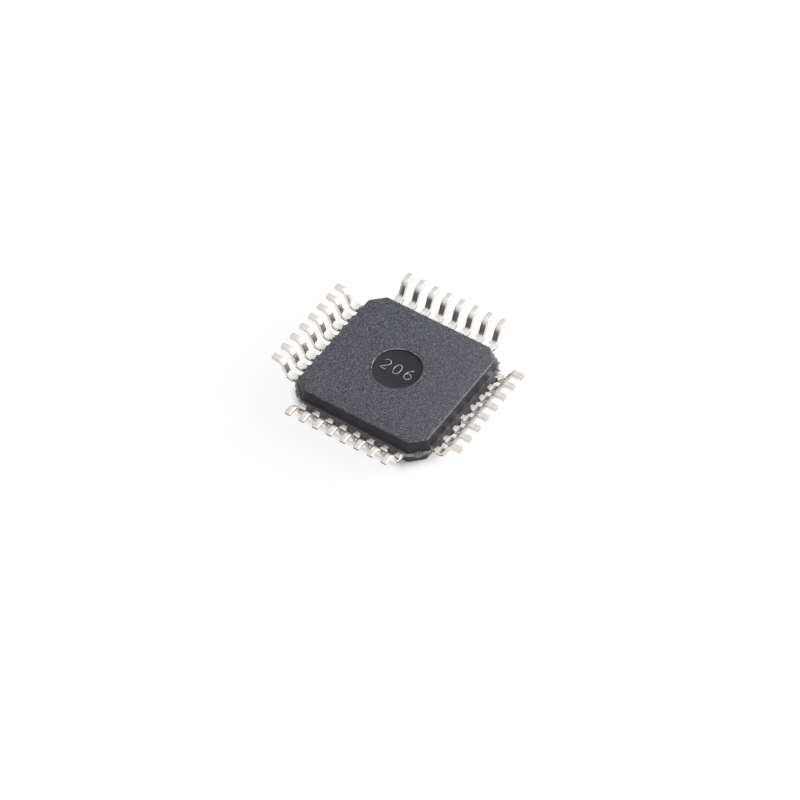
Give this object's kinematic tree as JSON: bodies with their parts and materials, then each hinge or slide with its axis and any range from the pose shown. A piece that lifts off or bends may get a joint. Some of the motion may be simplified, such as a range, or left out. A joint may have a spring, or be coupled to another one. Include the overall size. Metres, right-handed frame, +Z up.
{
  "type": "quad flat pack chip",
  "caption": "Thin square moulded chip with formed gull-wing leads along every side, lying on its marked face with its feet up, as when turned over for soldering.",
  "frame": {"origin": "middle of the marked face, which the chip lies on", "axes": "+Z up out of the underside, towards the feet; leads leave along X and Y; the first lead's dimple is in the corner at -X and +Y"},
  "size_m": [0.007, 0.007, 0.0011],
  "materials": {
    "moulding_resin": "fine spark-eroded grain",
    "tinned_lead": "matte tin plating",
    "bare_copper": "bare stamped",
    "silver_adhesive": "silver-filled paste",
    "silicon": "polished",
    "gold_wire": "bright"
  },
  "bodies": {
    "root": {"resin_body": "moulding_resin", "lead_01": "tinned_lead", "lead_02": "tinned_lead", "lead_03": "tinned_lead", "lead_04": "tinned_lead", "lead_05": "tinned_lead", "lead_06": "tinned_lead", "lead_07": "tinned_lead", "lead_08": "tinned_lead", "lead_09": "tinned_lead", "lead_10": "tinned_lead", "lead_11": "tinned_lead", "lead_12": "tinned_lead", "lead_13": "tinned_lead", "lead_14": "tinned_lead", "lead_15": "tinned_lead", "lead_16": "tinned_lead", "lead_17": "tinned_lead", "lead_18": "tinned_lead", "lead_19": "tinned_lead", "lead_20": "tinned_lead", "lead_21": "tinned_lead", "lead_22": "tinned_lead", "lead_23": "tinned_lead", "lead_24": "tinned_lead", "lead_25": "tinned_lead", "lead_26": "tinned_lead", "lead_27": "tinned_lead", "lead_28": "tinned_lead", "lead_29": "tinned_lead", "lead_30": "tinned_lead", "lead_31": "tinned_lead", "lead_32": "tinned_lead", "die_pad": "bare_copper", "die_adhesive": "silver_adhesive", "silicon_die": "silicon", "bond_wires": "gold_wire"}
  },
  "joints": []
}
